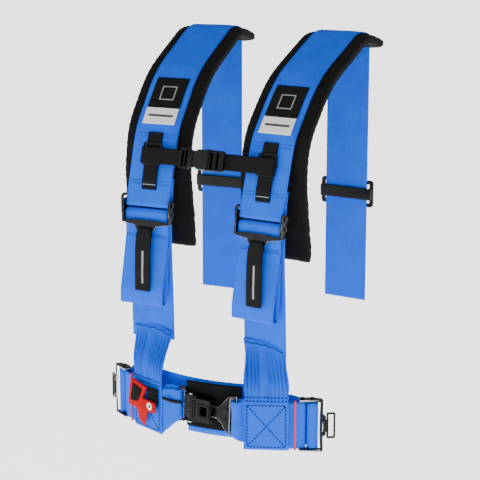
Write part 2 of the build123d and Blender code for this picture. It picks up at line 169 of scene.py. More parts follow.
# %% Webbing material
def rgb(r, g, b):
    return (r, g, b, 1.0)


def webbing(name, base, shade, width, rough=0.62, rib=1.05, step=1.5, with_painted_valley_shade=False):
    f = Finish(name, Roughness=rough, Specular_IOR_Level=0.12)
    across, along, _ = f.split(f.coords("UV"))
    ribs = (across * (2 * pi / rib)).math("SINE")
    parity = (across * (0.5 / rib)).math("FRACT") > 0.5
    weft = ((along * (2 * pi / step)) + parity * pi).math("SINE")
    weave = ribs * 0.5 + weft * 0.5 + ribs * weft * 0.35
    from_edge = (width / 2) - (across.math("ABSOLUTE"))
    cord_edge = (from_edge < 2.0) * (from_edge > 0.6)
    object_point = f.coords()
    cloud = f.noise(object_point, 22.0, 4.0)
    streak = f.noise(f.node("ShaderNodeCombineXYZ", None, (across * 1.3, along * 0.05, 0.0)), 1.0, 2.0)
    dark = ((0.5 - weave * 0.28) + (cloud - 0.5) * 0.9 + (streak - 0.5) * 0.9 + cord_edge * 0.18).clamp()
    colour = f.mix(dark, base, shade)
    # The sleeve's flute valleys are darkened towards a deep blue: painted shade in the folds.
    if with_painted_valley_shade:
        painted_valley_shade = f.node("ShaderNodeAttribute", {"attribute_name": "painted_valley_shade"}, out=2)
        colour = f.mix((painted_valley_shade * 0.6).clamp(), colour, tuple(c * 0.35 for c in shade[:3]) + (1.0,))
    f.set("Base Color", colour)
    f.set("Roughness", cloud * 0.12 + (rough - 0.06))
    f.bump(weave * 0.5 + cord_edge * 0.6, 0.55, 0.00022)
    return f.material


BLUES = rgb(0.0, 0.15, 0.95), rgb(0.0, 0.08, 0.72)
blue = webbing("blue_webbing", *BLUES, WEB_W)
# The sleeves' webbing, with painted shade in its flute valleys.
gathered = webbing("gathered_webbing", *BLUES, WEB_W, with_painted_valley_shade=True)
BLACKS = rgb(0.009, 0.009, 0.01), rgb(0.002, 0.002, 0.002)
black_web = webbing("black_webbing", *BLACKS, SMALL_W, 0.6, 0.9, 1.3)
print("webbing materials made")

# %% Pad fabric, thread, plastic and metal
def pad_fabric(name, base, light):
    """Plain cloth with a small diamond weave, for pieces that have no flat coordinates."""
    f = Finish(name, Roughness=0.85, Specular_IOR_Level=0.12)
    x, y, z = f.split(f.coords())
    a = ((y + z) * (2 * pi / (1.5 * MM))).math("SINE")
    b = ((y - z + x * 0.6) * (2 * pi / (1.5 * MM))).math("SINE")
    c = (x * (2 * pi / (1.3 * MM))).math("SINE")
    weave = a * b * 0.6 + c * 0.4
    cloud = f.noise(f.coords(), 35.0, 4.0)
    f.set("Base Color", f.mix((weave * 0.25 + cloud).clamp(), base, light))
    f.bump(weave * 0.5 + cloud * 0.8, 0.6, 0.0003)
    return f.material


def moulded(name, base, rough=0.42):
    """Injection-moulded plastic with a fine spark-eroded texture and slightly rubbed patches."""
    f = Finish(name, Roughness=rough, Specular_IOR_Level=0.22)
    grain = f.noise(f.coords(), 900.0, 2.0)
    rub = f.noise(f.coords(), 60.0, 4.0)
    lighter = tuple(min(1.0, c * 1.8 + 0.003) for c in base[:3]) + (1.0,)
    f.set("Base Color", f.mix((rub * 0.6), base, lighter))
    f.set("Roughness", (rough - 0.08) + rub * 0.18)
    f.bump(grain, 0.25, 0.0001)
    return f.material


def steel(name, base, rough, metallic=1.0, scratch=0.35):
    """Plated or blackened sheet steel: brushed grain, cloudy oxide and small scratches."""
    f = Finish(name, Roughness=rough, Metallic=metallic)
    x, y, z = f.split(f.coords())
    grain = f.noise(f.node("ShaderNodeCombineXYZ", None, (x * 60.0, y * 900.0, z * 900.0)), 1.0, 3.0)
    cloud = f.noise(f.coords(), 90.0, 5.0)
    brighter = tuple(min(1.0, c * 2.0 + 0.012) for c in base[:3]) + (1.0,)
    f.set("Base Color", f.mix((grain * scratch + cloud * 0.35).clamp(), base, brighter))
    f.set("Roughness", (rough - 0.1) + cloud * 0.2)
    f.bump(grain, 0.2, 0.00012)
    return f.material


pad_black = pad_fabric("pad_cover", rgb(0.002, 0.002, 0.002), rgb(0.009, 0.009, 0.01))
red_cloth = pad_fabric("red_cloth", rgb(0.42, 0.0, 0.001), rgb(0.6, 0.0, 0.002))
pink = pad_fabric("pink_elastic", rgb(0.6, 0.04, 0.06), rgb(0.8, 0.08, 0.1))
plastic = moulded("black_plastic", rgb(0.003, 0.003, 0.003))
sheath = moulded("cable_sheath", rgb(0.003, 0.003, 0.003), 0.3)
dark_steel = steel("dark_steel", rgb(0.009, 0.009, 0.01), 0.3)
# Bright steel for the bevelled edges of the dark hardware: a painted highlight along every edge.
painted_edge_highlight = steel("painted_edge_highlight", rgb(0.5, 0.51, 0.52), 0.28, 1.0)
bright = steel("bright_steel", rgb(0.62, 0.62, 0.63), 0.25, 1.0)
blue_thread = moulded("blue_thread", rgb(0.0, 0.06, 0.55), 0.55)
navy_thread = moulded("navy_thread", rgb(0.0, 0.012, 0.14), 0.55)
black_thread = moulded("black_thread", rgb(0.012, 0.012, 0.014), 0.6)
pale_thread = moulded("pale_thread", rgb(0.45, 0.7, 1.0), 0.5)
print("materials:", len(bpy.data.materials))

# %% [markdown]
# ## Places
# Each shoulder line is built straight, in millimetres, and then turned outwards and moved
# to its side. The lap belt lies on an arc about the waist. A turned adjuster on that arc is
# the same one as at the shoulder, lying on its side.

# %% Frames of reference
def shift(x=0.0, y=0.0, z=0.0):
    return Matrix.Translation((x * MM, y * MM, z * MM))


def turn(angle, axis):
    return Matrix.Rotation(radians(angle), 4, axis)


def shoulder_frame(side):
    sign, y = SIDES[side], CHEST_LOW[0]
    return shift(sign * SHOULDER_X, y) @ turn(-sign * SPLAY, "Z") @ shift(0, -y)


def waist_frame(x, out=0.0, z=0.0):
    angle = asin(x / WAIST_R)
    radius = WAIST_R + out
    return shift(radius * sin(angle), WAIST_Y - radius * cos(angle), z) @ turn(degrees(angle), "Z")


def lap_frame(side):
    sign = SIDES[side]
    return waist_frame(sign * LAP_LOCK_X, LAP_LOCK_OUT, LAP_Z) @ turn(-sign * 90, "Y")


def on_chest(z, off):
    """(Y, Z) of a point in front of the strap's straight run over the chest."""
    return (CHEST[0] + (z - CHEST[1]) * CHEST_SLOPE - off * hypot(1, CHEST_SLOPE), z)


# %% [markdown]
# ## Paths
# A path is a list of points a few millimetres apart. Corners are rounded with true arcs, so
# webbing goes round a bar with the bar's own radius.

# %% Rounded paths and their resampling
def rounded(points, radii):
    """Corner points joined by straight runs, with an arc of the given radius at each corner."""
    made = [Vector(points[0])]
    for before, here, after, radius in zip(points, points[1:], points[2:], radii):
        here = Vector(here)
        a = (Vector(before) - here).normalized()
        b = (Vector(after) - here).normalized()
        half = a.angle(b) / 2
        reach = radius / max(1e-6, abs(sin(half) / cos(half)))
        centre = here + (a + b).normalized() * (radius / sin(half))
        start, end = here + a * reach - centre, here + b * reach - centre
        steps = max(3, int(degrees(start.angle(end)) / 6))
        made += [centre + start.slerp(end, i / steps) * radius for i in range(steps + 1)]
    made.append(Vector(points[-1]))
    return made


def yz(points):
    return [Vector((0, y, z)) for y, z in points]


def arc_points(x_from, x_to, out, z=LAP_Z, step=4.0):
    """Points of the waist arc in plan, in millimetres."""
    count = max(2, int(abs(x_to - x_from) / step))
    made = []
    for i in range(count + 1):
        x = x_from + (x_to - x_from) * i / count
        angle = asin(x / WAIST_R)
        made.append(Vector(((WAIST_R + out) * sin(angle), WAIST_Y - (WAIST_R + out) * cos(angle), z)))
    return made


def even(points, step):
    """The same line with its points evenly spaced, and its length."""
    clean = [points[0]]
    for point in points[1:]:
        if (point - clean[-1]).length > 1e-3:
            clean.append(point)
    lengths = [0.0]
    for a, b in zip(clean, clean[1:]):
        lengths.append(lengths[-1] + (b - a).length)
    total = lengths[-1]
    count = max(2, round(total / step))
    made, k = [], 0
    for i in range(count + 1):
        want = total * i / count
        while k < len(clean) - 2 and lengths[k + 1] < want:
            k += 1
        share = (want - lengths[k]) / (lengths[k + 1] - lengths[k])
        made.append(clean[k].lerp(clean[k + 1], share))
    return made, total


# %% [markdown]
# ## Ribbons
# A ribbon starts as a flat grid, as the webbing starts flat on its roll. Its UV is the flat
# cloth in millimetres. Each row of the grid is then carried to its place on the path.

# %% The ribbon maker
class Ribbon:
    """Webbing bent along a path; point() finds a place on it for stitches."""

    def __init__(self, path, width, thick, frame_at=None, step=3.0, across=(1, 0, 0), shape=None, taper=None):
        self.line, self.length = even(path, step)
        self.width, self.thick = width, thick
        self.frame_at = frame_at or Matrix.Identity(4)
        self.across = Vector(across)
        self.shape = shape or (lambda u, s: 0.0)
        self.taper = taper or (lambda s: 1.0)

    def spot(self, s):
        """Point, tangent and outward normal at s millimetres along the path."""
        t = max(0.0, min(0.999999, s / self.length)) * (len(self.line) - 1)
        k = int(t)
        a, b = self.line[k], self.line[k + 1]
        before = self.line[max(0, k - 1)]
        after = self.line[min(len(self.line) - 1, k + 2)]
        tangent = ((b - before).normalized()).lerp((after - a).normalized(), t - k).normalized()
        normal = tangent.cross(self.across).normalized()
        return a.lerp(b, t - k), tangent, normal

    def point(self, u, s, lift=0.0):
        """World place, in metres, u millimetres across and s along, lift above the middle plane."""
        place, _, normal = self.spot(s)
        place = place + self.across * (u * self.taper(s)) + normal * (self.shape(u, s) + lift)
        return self.frame_at @ (place * MM)

    def normal(self, s):
        return (self.frame_at.to_3x3() @ self.spot(s)[2]).normalized()

    def mesh(self, name, columns=14):
        bm = bmesh.new()
        rows = len(self.line) - 1
        bmesh.ops.create_grid(bm, x_segments=columns, y_segments=rows, size=0.5)
        uv = bm.loops.layers.uv.new("flat")
        for face in bm.faces:
            for loop in face.loops:
                co = loop.vert.co
                loop[uv].uv = (co.x * self.width, (co.y + 0.5) * self.length)
        for vert in bm.verts:
            vert.co = self.point(vert.co.x * self.width, (vert.co.y + 0.5) * self.length)
        bmesh.ops.recalc_face_normals(bm, faces=bm.faces)
        return to_mesh(bm, name)

    def piece(self, name, material, columns=14):
        obj = add_object(name, self.mesh(name, columns), material)
        thicken = obj.modifiers.new("thickness", "SOLIDIFY")
        thicken.thickness = self.thick * MM
        thicken.offset = 0.0
        thicken.use_even_offset = True
        return obj


def to_mesh(bm, name):
    """A new mesh with the shape of a bmesh, which is freed."""
    mesh = bpy.data.meshes.new(name)
    bm.to_mesh(mesh)
    bm.free()
    return mesh


def add_object(name, mesh, *materials):
    obj = bpy.data.objects.new(name, mesh)
    bpy.context.scene.collection.objects.link(obj)
    for material in materials:
        mesh.materials.append(material)
    mesh.shade_smooth()
    return obj


# %% [markdown]
# ## Stitches
# A stitch is a bead of thread that dips into the cloth at both ends. One seam is one mesh of
# many short beads, each with a few faces.

# %% Seams of small thread beads
def seam(name, runs, material, body, pitch=3.4, gap=0.28, radius=0.42):
    """runs are lists of (point, normal) in metres; stitches are spaced pitch millimetres apart."""
    bm = bmesh.new()
    for run in runs:
        points, total = even([p / MM for p, _ in run], pitch)
        normals = [n for _, n in run]
        for i, (a, b) in enumerate(zip(points, points[1:])):
            along = (b - a).normalized()
            up = normals[min(len(normals) - 1, int(i / max(1, len(points) - 1) * len(normals)))]
            side = along.cross(up).normalized()
            long = (b - a).length * (1 - gap) / 2
            rotation = Matrix((along, side, side.cross(along))).transposed().to_4x4()
            scale = Matrix.Diagonal((long * MM, radius * MM, radius * 0.8 * MM, 1))
            place = Matrix.Translation((a + b) / 2 * MM) @ rotation @ scale
            place = place @ turn(90, "Y")
            bmesh.ops.create_uvsphere(bm, u_segments=6, v_segments=4, radius=1.0, matrix=place)
    obj = add_object(name, to_mesh(bm, name), material)
    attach(obj, body)
    return obj


def run_on(ribbon, spots, lift=None, step=6.0):
    """A stitch run over a ribbon's outer face through (u, s) corners."""
    lift = ribbon.thick / 2 + 0.12 if lift is None else lift
    made = []
    for (u0, s0), (u1, s1) in zip(spots, spots[1:]):
        count = max(1, int(hypot(u1 - u0, s1 - s0) / step))
        for i in range(count + 1):
            u, s = u0 + (u1 - u0) * i / count, s0 + (s1 - s0) * i / count
            made.append((ribbon.point(u, s, lift), ribbon.normal(s)))
    return made


def zigzag(u0, u1, s0, s1, wide, step):
    """Corners of a zigzag between two places on a ribbon, in its flat millimetres."""
    count = max(1, int(hypot(u1 - u0, s1 - s0) / step))
    along = Vector((u1 - u0, s1 - s0)).normalized()
    side = Vector((-along.y, along.x)) * wide / 2
    made = []
    for i in range(count + 1):
        base = Vector((u0, s0)).lerp(Vector((u1, s1)), i / count)
        made.append(tuple(base + side * (1 if i % 2 else -1)))
    return made


# %% [markdown]
# ## Shoulder webbing
# One length of webbing hangs down the back, comes up over the pad's rear edge, lies along the
# pad and goes round the adjuster's fixed pin. It swells a little over the padding.

# %% Shoulder straps
def pad_crown(length_before, length_after):
    """Rise of the webbing over the pad, fading out where it leaves the padding."""
    def rise(u, s):
        if not length_before < s < length_after:
            return 0.0
        fade = min(1.0, (s - length_before) / 30, (length_after - s) / 60)
        wave = noise.noise(Vector((u * 0.03, s * 0.022, 4.0))) * 1.1
        return fade * (1.5 * (1 - (u / (WEB_W / 2)) ** 2) + wave - 0.2)
    return rise


ribbons = {}
for side in SIDES:
    r = PIN_R + 0.3 + WEB_T / 2
    corners = yz([
        (REAR_Y, REAR_END[side]), (REAR_Y, 13), CREST, COLLAR, CHEST, CHEST_LOW,
        (PIN[0] + r, PIN[1] - r), (-207, -203),
    ])
    path = rounded(corners, [7, 60, 180, 110, 3.0, 3.6])
    top = 13 - REAR_END[side]
    strap = Ribbon(path, WEB_W, WEB_T, shoulder_frame(side), 3.0, shape=pad_crown(top + 6, top + 300))
    piece = strap.piece(side + "_shoulder_webbing", blue, 18)
    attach(piece, "root")
    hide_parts(side + "_shoulder_strap")
    ribbons[side + "_shoulder"] = (strap, top)
    print(piece.name, "length", round(strap.length), "mm")


# %% [markdown]
# ## Shoulder pads
# A pad is foam in a stitched cover. It is made as a tube with a flattened section that is
# bent along the shoulder line: full in the middle, drawn in at the bound edges, with small
# puckers where the cover is quilted. The section is a superellipse, the ends close softly.

# %% Pad section and bending
PAD_W, PAD_T = 114.0, 17.0


def offset_line(points, depth):
    """Corner points moved to the wearer's side of a (Y, Z) line."""
    made = []
    for i, here in enumerate(points):
        a, b = points[max(i - 1, 0)], points[max(i, 1)]
        before = (Vector(b) - Vector(a)).normalized()
        a, b = points[min(i, len(points) - 2)], points[min(i + 1, len(points) - 1)]
        after = (Vector(b) - Vector(a)).normalized()
        mid = before + after
        normal = Vector((-mid.y, mid.x)).normalized()
        made.append(Vector(here) + normal * depth * 2 / mid.length)
    return made


def signed_power(value, power):
    return (abs(value) ** power) * (1 if value >= 0 else -1)


def tube(around, rows):
    """A closed upright tube of unit size, cut into rings."""
    bm = bmesh.new()
    bmesh.ops.create_cone(bm, cap_ends=True, segments=around, radius1=1, radius2=1, depth=1)
    upright = [e for e in bm.edges if abs(e.verts[0].co.z - e.verts[1].co.z) > 0.5]
    bmesh.ops.subdivide_edges(bm, edges=upright, cuts=rows - 1, use_grid_fill=True)
    return bm


def pad_mesh(side):
    """A tube of rings bent along the pad's middle line."""
    depth = WEB_T / 2 + 0.3 + PAD_T / 2
    corners = offset_line([PAD_REAR, CREST, COLLAR, CHEST] + PAD_END, depth)
    line = Ribbon(rounded(yz(corners), [55, 170, 100, 90]), PAD_W, PAD_T, shoulder_frame(side), 4.0)
    bm = tube(64, len(line.line) - 1)
    seed = 3.0 if side == "left" else 11.0
    for vert in bm.verts:
        theta = atan2(vert.co.y, vert.co.x)
        s = (vert.co.z + 0.5) * line.length
        end = min(s, line.length - s)
        close = min(1.0, (0.16 + end / 7.0)) ** 0.5
        low = max(0.0, (s - line.length + 150) / 150)
        wide = PAD_W / 2 * (1 + 0.06 * low) * (0.95 + 0.05 * close)
        u = signed_power(cos(theta), 0.5) * wide
        t = signed_power(sin(theta), 0.5) * PAD_T / 2 * close
        proud = max(0.0, min(1.0, (abs(u) - WEB_W / 2 - 1) / 6)) * 1.8
        t += proud * (1 if t > 0 else 0)
        rim = abs(cos(theta)) ** 3
        pucker = sin(s * 2 * pi / 13 + 2.4 * noise.noise(Vector((s * 0.03, seed, 0)))) * 0.55 * rim
        soft = noise.noise(Vector((u * 0.035, s * 0.03, seed))) * (0.8 + 1.6 * low)
        drift = 3 * noise.noise(Vector((u * 0.02, s * 0.02, seed)))
        fold = sin(s * 2 * pi / 31 + u * 0.05 + drift) * 1.3 * low
        back = 0.8 if t < 0 else 0.25
        edge = min(1.0, max(0.0, abs(u) - WEB_W / 2) / 8) if t > 0 else 1.0
        vert.co = line.point(u + pucker, s, t + (soft + fold) * back * edge + pucker * 0.5)
    bmesh.ops.recalc_face_normals(bm, faces=bm.faces)
    return to_mesh(bm, side + "_pad"), line


for side in SIDES:
    mesh, line = pad_mesh(side)
    pad = add_object(side + "_pad", mesh, pad_black)
    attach(pad, "root")
    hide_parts(side + "_shoulder_pad")
    print(pad.name, "length", round(line.length), "mm")

# %% [markdown]
# ## Lower straps with their hand loops
# The webbing rises behind the adjuster, goes over the lock bar and comes down in front; its
# end is folded back and sewn into a loop for the hand. It is one piece.

# %% Lower straps
SLEEVE_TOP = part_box("left_strap_sleeve")[1][2] / MM
LOOP_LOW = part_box("left_tail_loop")[0][2] / MM


def lower_path():
    r = LOCK_R + 0.3 + WEB_T / 2
    back, front = LOCK[0] + r, LOCK[0] - r
    up = [(-209, SLEEVE_TOP - 24), (-212, -380), (back, -310), (back, LOCK[1] + r)]
    down = [(front, LOCK[1] + r), (front, LOCK[1] - 6), (front + 3, LOCK[1] - 31)]
    loop = [(front - 10.5, LOOP_LOW + 25), (front - 8.5, LOOP_LOW + 1), (front + 3.6, LOOP_LOW + 1)]
    inner = [(front + 5.4, LOOP_LOW + 27), (front + 4.2, LOCK[1] - 52)]
    corners = yz(up + down + loop + inner)
    path = rounded(corners, [80, 80, r - 0.01, r - 0.01, 12, 60, 60, 4, 4, 30])
    over = path.index(max(path, key=lambda p: p.z))
    for point in path[over:]:
        hang = (LOCK[1] - point.z) / (LOCK[1] - LOOP_LOW)
        point.x -= 7.0 * max(0.0, hang) ** 1.5
    return path


for side, sign in SIDES.items():
    seed = 2.0 * sign

    def sway(u, s, seed=seed):
        return noise.noise(Vector((s * 0.02, seed, u * 0.01))) * 0.5

    strap = Ribbon(lower_path(), WEB_W - 1, WEB_T, shoulder_frame(side), 2.0, shape=sway)
    piece = strap.piece(side + "_lower_webbing", blue, 14)
    pin = shoulder_frame(side) @ Vector((0, PIN[0] * MM, PIN[1] * MM))
    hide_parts(side + "_lower_strap", side + "_tail_loop", side + "_lock_wrap")
    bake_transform(piece)
    ribbons[side + "_lower"] = strap
    print(piece.name, "length", round(strap.length), "mm")

# %% [markdown]
# ## Sleeves over the belt junction
# The cover is a tube of webbing, gathered by a row of stitches so that it puckers in long
# flutes, and sewn flat onto the lap belt below. The flutes are a sine round the section that
# grows from the top edge and dies out at the stitched row. Their inward valleys are darkened in the colour as
# painted shade.

# %% Sleeves
SLEEVE_T = 5.0
BOX_TOP = -515.0
SLEEVE_X = {"left": -92.0, "right": 115.0}


def sleeve_share(z):
    """How far up the free part of the sleeve a height is, eased at both ends, and uneased."""
    share = max(0.0, min(1.0, (z - BOX_TOP) / (SLEEVE_TOP - BOX_TOP)))
    return share * share * (3 - 2 * share), share


def sleeve_point(side, u, t, z):
    """World place on the sleeve: u across, t through and z up, in millimetres."""
    soft, share = sleeve_share(z)
    rest = waist_frame(SLEEVE_X[side], WEB_T / 2 + 0.4 + SLEEVE_T / 2)
    lean = 1.5 * sin(z * 0.09) * share
    upper = Vector(((SIDES[side] * SHOULDER_X + u + lean) * MM, (-210.0 + t) * MM, z * MM))
    lower = rest @ Vector((u * MM, (t - 1.5 * min(1.0, share * 4)) * MM, z * MM))
    return lower.lerp(upper, soft)


def sleeve_depth(z):
    share = sleeve_share(z)[1]
    return (SLEEVE_T + 3.5 * sin(pi * share) + share) / 2


def sleeve_mesh(side):
    bottom = LAP_Z - 39
    bm = tube(120, 56)
    uv = bm.loops.layers.uv.new("flat")
    painted_valley_shade = bm.verts.layers.float.new("painted_valley_shade")
    for face in bm.faces:
        for loop in face.loops:
            co = loop.vert.co
            angle = atan2(co.y, co.x)
            loop[uv].uv = (signed_power(cos(angle), 0.5) * 38, (co.z + 0.5) * (SLEEVE_TOP - bottom))
    for vert in bm.verts:
        theta = atan2(vert.co.y, vert.co.x)
        z = bottom + (vert.co.z + 0.5) * (SLEEVE_TOP - bottom)
        edge = min(1.0, max(0.05, min(SLEEVE_TOP - z, z - bottom) / 1.5)) ** 0.5
        width = (70 + 1.5 * sin(z * 0.11)) / 2
        depth = sleeve_depth(z) * edge
        u = signed_power(cos(theta), 0.5) * width
        flat = signed_power(sin(theta), 0.55)
        flute = sin(u * 2 * pi / 6.1 + 1.6 * noise.noise(Vector((u * 0.06, z * 0.03, 1.0))))
        gather = sin(pi * min(1.0, max(0.0, (z - BOX_TOP + 18) / (SLEEVE_TOP - BOX_TOP + 10)))) ** 0.6
        t = flat * depth + (flute * 1.5 * gather if flat < 0 else 0.0)
        # This weight marks the inward flute valleys, where the webbing colour gets painted shade.
        vert[painted_valley_shade] = max(0.0, flute * gather) if flat < 0 else 0.0
        z -= 11.0 * max(0.0, (u + 4) / 39) ** 2 * sleeve_share(z)[1] ** 2
        vert.co = sleeve_point(side, u, t, z)
    bmesh.ops.recalc_face_normals(bm, faces=bm.faces)
    return to_mesh(bm, side + "_sleeve")


for side in SIDES:
    sleeve = add_object(side + "_sleeve", sleeve_mesh(side), gathered)
    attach(sleeve, "root")
    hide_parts(side + "_strap_sleeve")
    print(sleeve.name, "faces", len(sleeve.data.polygons))

# %% [markdown]
# ## Lap belt
# The belt stands on edge along the waist arc. At its outer end it folds round the lap
# adjuster's pin. The spare anchor webbing goes round the lock bar and is stowed behind.

# %% Lap straps
def in_lap(side, y, z):
    """A point of the lap adjuster's own frame, in millimetres, at the belt's middle height."""
    point = lap_frame(side) @ Vector((0, y * MM, z * MM))
    return point / MM


PIN_STEP = (PIN[0] - LOCK[0], PIN[1] - LOCK[1])
LAP_INNER = {"left": -74.0, "right": 84.0}
LATCH_TURN = [
    (-60, -251.8, -570), (-34, -259.3, -554), (-21.6, -259.3, -551), (-21.6, -253.1, -551),
    (-36, -252.9, -554), (-64, -246.6, -569),
]
ANCHOR = {"left": (92.0, -19.0, -549.0), "right": (-22.0, -15.5, -563.0)}
up = (0, 0, 1)
for side, sign in SIDES.items():
    r = PIN_R + 0.3 + WEB_T / 2
    front = [in_lap(side, PIN_STEP[0] - r, PIN_STEP[1] + 14), in_lap(side, PIN_STEP[0] - r, PIN_STEP[1] - r)]
    back = [in_lap(side, PIN_STEP[0] + r, PIN_STEP[1] - r), in_lap(side, PIN_STEP[0] + r, PIN_STEP[1] + 22)]
    belt = arc_points(LAP_INNER[side], sign * 145.0, 0.0)
    gather = None
    if side == "left":
        belt = rounded(LATCH_TURN, [14, 2.6, 2.6, 14]) + belt

        def gather(s):
            return 0.62 + 0.38 * min(1.0, abs(s - 41) / 42)

    path = belt + rounded([front[0], front[1], back[0], back[1]], [r - 0.01, r - 0.01])
    strap = Ribbon(path, WEB_W, WEB_T, step=3.0, across=(0, 0, -sign), taper=gather)
    piece = strap.piece(side + "_lap_webbing", blue, 14)
    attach(piece, "root")
    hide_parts(side + "_lap_strap")
    print(piece.name, "length", round(strap.length), "mm")

# %% [markdown]
# On the right the belt turns round the tongue's bar and bulges forward before it runs in
# under the sleeve. It is one more ribbon, a little gathered at the bar.

# %% Belt at the tongue
corners = [
    (93, -239.6, -565), (84.5, -247.5, -563), (83.0, -264.2, -560), (72.2, -264.2, -556),
    (72.2, -255.4, -556), (81, -251.0, -560), (90, -241.2, -564),
]
path = rounded(corners, [4, 5.5, 3.2, 2.6, 6])


def bar_gather(s):
    return 0.8 + 0.2 * min(1.0, abs(s - 38) / 26)


def bar_ripple(u, s):
    return noise.noise(Vector((u * 0.06, s * 0.05, 3.0))) * 1.2


bend = Ribbon(path, 70.0, WEB_T, step=1.6, across=(0, 0, 1), taper=bar_gather, shape=bar_ripple)
piece = bend.piece("right_belt_turn", blue, 20)
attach(piece, "root")

# %% Anchor straps
for side, sign in SIDES.items():
    inner_x, out, z = ANCHOR[side]
    r = LOCK_R + 0.3 + WEB_T / 2 + 2.0
    stowed = arc_points(inner_x, sign * 150.0, out, z)
    tips = ((r, 6), (r, -r), (-r, -r), (-r, r), (0.5, r))
    lift = [in_lap(side, y, z) for y, z in tips]
    turnover = rounded(lift, [r - 0.01, r - 0.01, r - 0.01])
    blend_in = [stowed[-1].lerp(turnover[0], k / 6) for k in range(1, 6)]
    path = stowed + blend_in + turnover
    strap = Ribbon(path, WEB_W - 2, WEB_T, step=3.0, across=(0, 0, -sign))
    piece = strap.piece(side + "_anchor_webbing", blue, 10)
    bar = lap_frame(side) @ Vector((0, 0, 0))
    inward = lap_frame(side) @ Vector((0, 0, 30 * MM))
    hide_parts(side + "_anchor_strap", side + "_lap_lock_wrap")
    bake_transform(piece)
    print(piece.name, "length", round(strap.length), "mm")

# %% [markdown]
# ## Chest webbing
# A narrow ladder webbing is sewn at both ends to each shoulder strap, and the chest strap's
# rings slide on it. The two halves of the chest strap meet in the side-release buckle.

# %% Ladders and chest strap
LADDER_Z, LADDER_LIFT, CHEST_Z = (-134.0, -221.0), 4.3, -166.0
SEWN = WEB_T / 2 + SMALL_T / 2 + 0.25
for side in SIDES:
    top, low = LADDER_Z
    heights = [(top, 2.2), (top - 7, 3.0), (top - 17, LADDER_LIFT)]
    heights += [(low + 15, LADDER_LIFT), (low + 6, SEWN), (low, SEWN)]
    path = rounded(yz([on_chest(z, off) for z, off in heights]), [6, 10, 10, 6])
    ladder = Ribbon(path, SMALL_W, SMALL_T, shoulder_frame(side), 2.0)
    piece = ladder.piece(side + "_ladder_webbing", black_web, 10)
    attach(piece, "root")
    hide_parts(side + "_chest_ladder")
    ribbons[side + "_ladder"] = ladder


def chest_frame():
    y, z = on_chest(CHEST_Z, LADDER_LIFT + 10.6)
    return shift(0, y, z) @ turn(-degrees(atan2(CHEST_SLOPE, 1)), "X")


for side, (x0, x1, seed) in {"left": (-119, -29, 1.0), "right": (117, 7.2, 5.0)}.items():
    path = [Vector((x0 + (x1 - x0) * i / 24, 4.1, 0)) for i in range(25)]

    def ripple(u, s, seed=seed):
        return noise.noise(Vector((s * 0.045, seed, u * 0.02))) * 0.55

    strap = Ribbon(path, SMALL_W, SMALL_T, chest_frame(), 3.0, across=(0, 0, SIDES[side] * -1), shape=ripple)
    piece = strap.piece(side + "_chest_webbing", black_web, 10)
    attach(piece, side + "_chest")
    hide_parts(side + "_chest_strap")

# %% [markdown]
# ## Labels
# Each shoulder has a woven label: a black field with a plain grey square outline, and a pale
# band with one dark bar below. Both are drawn in the label's own flat coordinates.

# %% Label material and pieces
LABEL_W, LABEL_LONG, LABEL_BAND, LABEL_TOP = 57.0, 86, 29.0, -57.1
START_AFTER, START_BEFORE = 60, 330


def label_finish():
    f = Finish("woven_label", Roughness=0.7, Specular_IOR_Level=0.12)
    across, along, _ = f.split(f.coords("UV"))
    fine = (across * (2 * pi / 0.7)).math("SINE") * 0.5 + (along * (2 * pi / 0.7)).math("SINE") * 0.5
    band = along < LABEL_BAND
    sides = across.math("ABSOLUTE") > LABEL_W / 2 - 1.9
    border = sides.math("MAXIMUM", along < 1.6).math("MAXIMUM", along > LABEL_LONG - 1.4)

    def box(half):
        up_down = (along - (LABEL_BAND + LABEL_LONG - 1) / 2).math("ABSOLUTE")
        return across.math("ABSOLUTE").math("MAXIMUM", up_down) < half

    fade = f.noise(f.coords("UV"), 0.2, 3.0)
    field = f.mix(band, rgb(0.004, 0.004, 0.004), rgb(0.85, 0.85, 0.86))
    field = f.mix(box(13.0) - box(11.0), field, rgb(0.3, 0.3, 0.31))
    stripe = band * ((along - 15.0).math("ABSOLUTE") < 2.0) * ((across.math("ABSOLUTE")) < 22.0)
    field = f.mix(stripe, field, rgb(0.06, 0.06, 0.065))
    field = f.mix(border * (1.0 - band), field, rgb(0.004, 0.004, 0.004))
    f.set("Base Color", f.mix((fade * 0.1 + fine * 0.06).clamp(), field, rgb(0.03, 0.03, 0.032)))
    f.bump(fine, 0.4, 0.00015)
    return f.material


label_cloth = label_finish()
for side in SIDES:
    strap, top = ribbons[side + "_shoulder"]
    start = next(top + d for d in range(START_AFTER, START_BEFORE) if strap.spot(top + d)[0].z < LABEL_TOP)
    line = []
    for i in range(LABEL_LONG + 1):
        place, _, normal = strap.spot(start + LABEL_LONG - i)
        line.append(place + normal * (WEB_T / 2 + 2.0))
    label = Ribbon(line, LABEL_W, 0.9, shoulder_frame(side), 2.0, across=(-1, 0, 0))
    piece = label.piece(side + "_label", label_cloth, 16)
    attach(piece, "root")
    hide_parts(side + "_label_patch")
    print(piece.name, "lowest", round(min(p.z for p in line)))

# %% [markdown]
# ## Pull tabs
# A narrow black webbing is folded round the bar between the adjuster's prongs and sewn to
# itself, so its lower part is two layers thick. One plain grey line runs down it.

# %% Pull tab material
def tab_finish():
    f = Finish("printed_tab", Roughness=0.6, Specular_IOR_Level=0.12)
    across, along, _ = f.split(f.coords("UV"))
    weave = (across * (2 * pi / 0.9)).math("SINE") * 0.5 + (along * (2 * pi / 1.3)).math("SINE") * 0.5
    line = (along > 56.0) * (along < 108.0) * ((across.math("ABSOLUTE")) < 1.6)
    field = f.mix((0.5 + weave * 0.3).clamp(), rgb(0.002, 0.002, 0.002), rgb(0.009, 0.009, 0.01))
    f.set("Base Color", f.mix(line, field, rgb(0.3, 0.3, 0.31)))
    f.bump(weave, 0.45, 0.0002)
    return f.material


tab_cloth = tab_finish()

